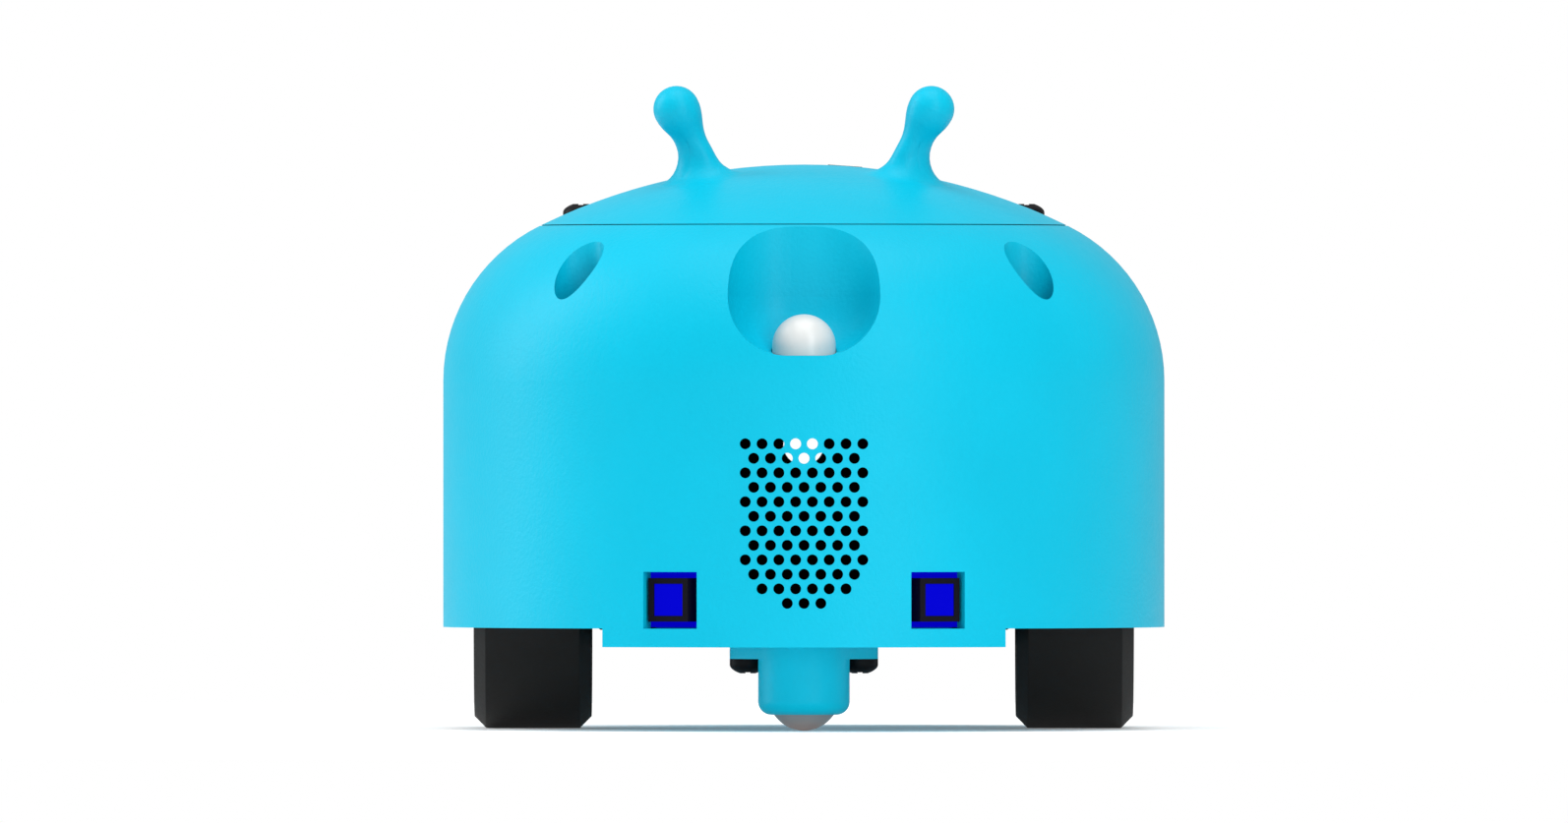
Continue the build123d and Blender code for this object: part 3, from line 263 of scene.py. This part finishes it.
def shell_skin(name, colour):
    """Cyan satin plastic with a fine pebbled skin, its edges left sharp so flush seams close."""
    tree = Tree(name)
    cloud = tree.noise(scale=24, detail=3, roughness=0.55)
    tree.feed("Base Color", tree.mottled(cloud, colour, (0.3, 0.97), (0.7, 1.03)))
    tree.feed("Roughness", tree.levels(tree.noise(scale=420, detail=3), 0.36, 0.46))
    tree.feed("Normal", tree.bump(tree.noise(scale=1150), 0.08 * MM))
    tree.set("Specular IOR Level", 0.10)
    return tree


def milky_lens():
    """White diffuser of the nose lamp."""
    tree = moulded("milky_lens", (0.53, 0.545, 0.54), roughness=0.3, grain=600,
                   grain_depth=0.004, mottle=0.012, edge=0.1, specular=0.45)
    tree.set("Subsurface Weight", 0.15)
    tree.set("Subsurface Radius", (1, 1, 1))
    tree.set("Subsurface Scale", 1.5 * MM)
    return tree


def sensor_blue():
    """Deep blue of the sensor's board and lens, with a painted glow that keeps them bright blue
    in the shade inside their window.
    """
    tree = moulded("sensor_blue", (0.0008, 0.0008, 0.13), roughness=0.4, grain=700,
                   grain_depth=0.006, mottle=0.05, edge=0.08, specular=0.0)
    # Painted light: a blue glow that lifts the shaded board and lens.
    tree.set("Emission Color", SENSOR_PAINTED_LIGHT)
    tree.set("Emission Strength", SENSOR_PAINTED_LIGHT_STRENGTH)
    return tree


def circuit_board():
    """Green solder mask with fine copper runs under it."""
    tree = Tree("circuit_board")
    runs = tree.nodes.new("ShaderNodeTexBrick")
    runs.inputs["Scale"].default_value = 160
    runs.inputs["Mortar Size"].default_value = 0.03
    runs.inputs["Color1"].default_value = (0.008, 0.13, 0.055, 1)
    runs.inputs["Color2"].default_value = (0.010, 0.17, 0.07, 1)
    runs.inputs["Mortar"].default_value = (0.03, 0.30, 0.12, 1)
    tree.links.new(tree.place, runs.inputs["Vector"])
    tree.feed("Base Color", runs.outputs["Color"])
    tree.feed("Normal", tree.bump(runs.outputs["Fac"], 0.02 * MM))
    tree.set("Roughness", 0.3)
    tree.set("Coat Weight", 0.4)
    return tree


def make_materials():
    """One material for each of the record's slots, and for the one node that has its own."""
    trees = {
        "shell": shell_skin("shell_skin", SHELL_CYAN),
        # The caster housing gets a lighter copy of the shell's plastic: painted light from below.
        "caster_housing": shell_skin("caster_skin_painted_light", CASTER_CYAN_PAINTED_LIGHT),
        "ball_steel": metal(
            "ball_steel", (0.50, 0.43, 0.415), grain=300, edge=0.05, scratch=0.001),
        "black_screw": moulded(
            "black_screw", (0.006, 0.006, 0.007), roughness=0.4, grain=1300,
            grain_depth=0.008, mottle=0.1, edge=0.2, specular=0.07),
        "nut_steel": metal("nut_steel", (0.55, 0.55, 0.56)),
        "tyre": moulded(
            "tyre_rubber", (0.0085, 0.0085, 0.0085), roughness=0.62, grain=1900,
            mottle=0.2, edge=0.3, specular=0.22),
        "rim": moulded(
            "rim_plastic", (0.03, 0.03, 0.033), roughness=0.45, grain=1200,
            grain_depth=0.02, mottle=0.1, edge=0.4),
        "white_gear": moulded(
            "white_gear", (0.80, 0.80, 0.77), roughness=0.4, grain=900,
            grain_depth=0.01, mottle=0.03, edge=0.1),
        "pin_steel": metal("pin_steel", (0.6, 0.6, 0.61), roughness=0.2, stretch=(1, 8, 8)),
        "gearbox": moulded(
            "gearbox_plastic", (0.83, 0.52, 0.03), roughness=0.45, grain=1000,
            grain_depth=0.015, mottle=0.04, edge=0.3),
        "motor_steel": metal(
            "motor_steel", (0.58, 0.58, 0.57), roughness=0.28, stretch=(6, 1, 6)),
        "sensor_blue": sensor_blue(),
        "sensor_black": moulded(
            "sensor_black", (0.0035, 0.003, 0.007), roughness=0.6, grain=900,
            grain_depth=0.01, mottle=0.1, edge=0.08, specular=0.06),
        "lens_white": milky_lens(),
        "led_clear": moulded(
            "led_epoxy", (0.85, 0.85, 0.8), roughness=0.1, grain=500,
            grain_depth=0.002, mottle=0.02, edge=0.05),
        "board_green": circuit_board(),
        "speaker_black": moulded("speaker_black", (0.01, 0.01, 0.01)),
        "cone_paper": moulded(
            "cone_paper", (0.015, 0.015, 0.015), roughness=0.85, grain=1500,
            grain_depth=0.08, mottle=0.2, edge=0.1, specular=0.1),
        "magnet": metal("magnet_plating", (0.35, 0.35, 0.36), roughness=0.35),
        "foam": moulded(
            "foam_cells", (0.0012, 0.0012, 0.0012), roughness=0.95, grain=1600,
            grain_depth=0.25, mottle=0.2, edge=0.1, specular=0.0),
        "switch_black": moulded(
            "switch_black", (0.010, 0.010, 0.011), roughness=0.35, grain=1100,
            grain_depth=0.008, mottle=0.1, specular=0.3),
        "holder_black": moulded("holder_black", (0.015, 0.015, 0.016)),
        "cell_wrap": moulded(
            "cell_wrap", (0.02, 0.16, 0.5), roughness=0.25, grain=500,
            grain_depth=0.01, mottle=0.04, edge=0.2, specular=0.5, coat=0.3),
        "contact": metal("contact_brass", (0.75, 0.58, 0.28)),
        "chip_black": moulded(
            "chip_black", (0.014, 0.014, 0.014), roughness=0.6, grain=1600,
            grain_depth=0.02, mottle=0.1, edge=0.1),
        "terminal_green": moulded("terminal_green", (0.02, 0.34, 0.09), roughness=0.35),
        "capacitor": metal("capacitor_can", (0.6, 0.6, 0.62)),
        "brass": metal("brass", (0.78, 0.57, 0.25), roughness=0.28, stretch=(1, 1, 6)),
    }
    return {key: tree.material for key, tree in trees.items()}


def dress(materials):
    """Give every CAD node its own material, or its slot's."""
    for name, node in nodes.items():
        node.data.materials.clear()
        node.data.materials.append(materials.get(name) or materials[slot_of[name]])


# ---------------------------------------------------------------- assembly

make_camera()
make_world()
for box in SOFT_BOXES:
    soft_box(*box)
make_floor()
dress(make_materials())
bpy.context.scene.view_settings.view_transform = "Standard"
